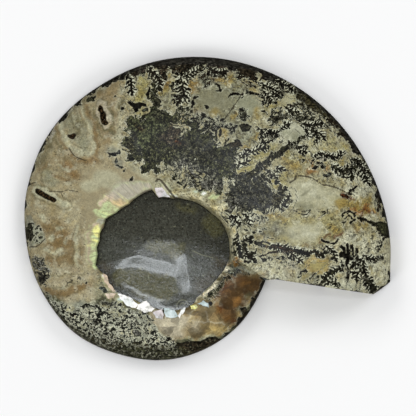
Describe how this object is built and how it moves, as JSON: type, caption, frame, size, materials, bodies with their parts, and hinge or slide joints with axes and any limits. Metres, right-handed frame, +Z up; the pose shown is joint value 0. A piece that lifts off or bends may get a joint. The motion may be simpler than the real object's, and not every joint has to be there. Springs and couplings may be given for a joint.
{
  "type": "ammonite fossil half",
  "caption": "Half of a coiled ammonite fossil, cut flat and lying on the cut, with a polished flank of branching sutures, crystal pockets and a dark stone-filled umbilicus.",
  "frame": {"origin": "bottom centre of the bounding box, on the cut face", "axes": "+Z up out of the cut face, +X along the longest extent towards the broken mouth, +Y across the coil"},
  "size_m": [0.1102, 0.0914, 0.0179],
  "materials": {
    "fossil_stone": "polished shell and calcite in cream, tan and dark green-grey, with duller dark grey mudstone in the umbilicus and sawn stone below"
  },
  "bodies": {
    "root": {"ammonite_half": "fossil_stone"}
  },
  "joints": []
}
